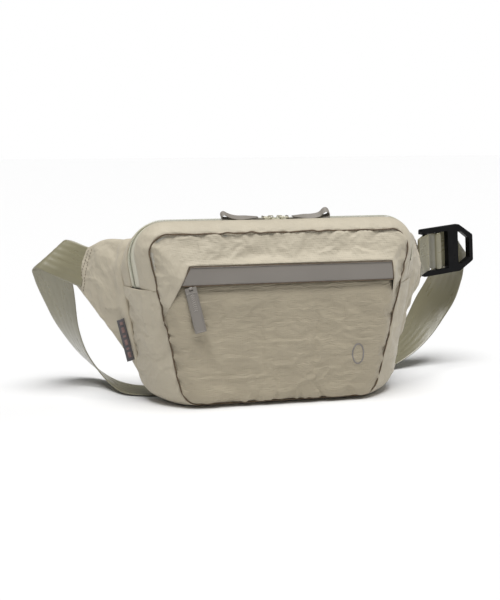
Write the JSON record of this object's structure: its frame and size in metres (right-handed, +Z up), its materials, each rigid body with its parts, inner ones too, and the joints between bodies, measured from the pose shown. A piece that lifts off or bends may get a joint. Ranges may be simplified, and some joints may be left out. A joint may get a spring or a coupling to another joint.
{
  "type": "hip pack",
  "caption": "Soft zippered hip pack with crowned front pocket, storm flap, padded wings and a webbing belt through a one-piece ladder-lock buckle with a finger loop.",
  "frame": {"origin": "middle of the flat underside of the bottom panel, on the surface the bag stands on", "axes": "+Z up, +X to the right seen from the front, front pocket faces -Y"},
  "size_m": [0.4652, 0.1619, 0.1773],
  "materials": {
    "nylon": "crinkled ripstop nylon, satin",
    "back_mesh": "air mesh, matt",
    "foam": "closed-cell foam, hidden",
    "lining": "plain weave, matt",
    "coated_band": "coated grey fabric, satin",
    "ribbon": "woven grosgrain ribbon, matt",
    "zip_tape": "woven zipper tape, satin",
    "zip_hardware": "painted metal and nylon coil, satin",
    "label": "woven label with plain stripes",
    "webbing": "seat-belt webbing, satin sheen",
    "buckle_plastic": "moulded acetal, fine satin"
  },
  "bodies": {
    "bag": {"anchor_loop": "webbing", "back_lining": "lining", "back_pad": "foam", "back_panel": "back_mesh", "binding_front": "lining", "binding_rear": "lining", "front_lining": "lining", "front_yoke": "nylon", "gusset_lower": "nylon", "gusset_strip_front": "nylon", "gusset_strip_rear": "nylon", "inner_pocket": "lining", "pocket_coil": "zip_hardware", "pocket_panel": "nylon", "pocket_tape_lower": "zip_tape", "pocket_tape_upper": "zip_tape", "printed_mark": "coated_band", "side_label": "label", "storm_flap": "coated_band", "strap_floor": "webbing", "strap_left": "webbing", "strap_right": "webbing", "wing_left": "nylon", "wing_right": "nylon", "zip_coil": "zip_hardware", "zip_end_patch": "nylon", "zip_tape_front": "zip_tape", "zip_tape_rear": "zip_tape"},
    "slider_left": {"main_slider_left": "zip_hardware"},
    "pull_left": {"pull_ring_left": "zip_hardware", "ribbon_pull_left": "ribbon"},
    "slider_right": {"main_slider_right": "zip_hardware"},
    "pull_right": {"pull_ring_right": "zip_hardware", "ribbon_pull_right": "ribbon"},
    "pocket_slider": {"pocket_slider": "zip_hardware"},
    "pocket_tab": {"pull_tab": "coated_band", "tab_pin": "zip_hardware"},
    "buckle": {"buckle": "buckle_plastic", "strap_wrap": "webbing"}
  },
  "joints": [
    {"name": "main_zip_left", "type": "slide", "parent": "bag", "child": "slider_left", "axis": [-1, 0, 0], "range_m": [0, 0.085]},
    {"name": "main_zip_right", "type": "slide", "parent": "bag", "child": "slider_right", "axis": [1, 0, 0], "range_m": [0, 0.085]},
    {"name": "pull_left_hinge", "type": "hinge", "parent": "slider_left", "child": "pull_left", "pos_m": [-0.0042, 0.003, 0.1707], "axis": [0, 1, 0], "range_deg": [0, 80]},
    {"name": "pull_right_hinge", "type": "hinge", "parent": "slider_right", "child": "pull_right", "pos_m": [0.0042, 0.003, 0.1707], "axis": [0, -1, 0], "range_deg": [0, 80]},
    {"name": "pocket_zip", "type": "slide", "parent": "bag", "child": "pocket_slider", "axis": [1, 0, 0], "range_m": [0, 0.165]},
    {"name": "pocket_tab_hinge", "type": "hinge", "parent": "pocket_slider", "child": "pocket_tab", "pos_m": [-0.087, -0.0357, 0.1124], "axis": [-0.9744, 0, -0.225], "range_deg": [0, 85]},
    {"name": "buckle_hinge", "type": "hinge", "parent": "bag", "child": "buckle", "pos_m": [0.181, 0.077, 0.1235], "axis": [0.0758, 0.0203, -0.9969], "range_deg": [0, 40]}
  ]
}
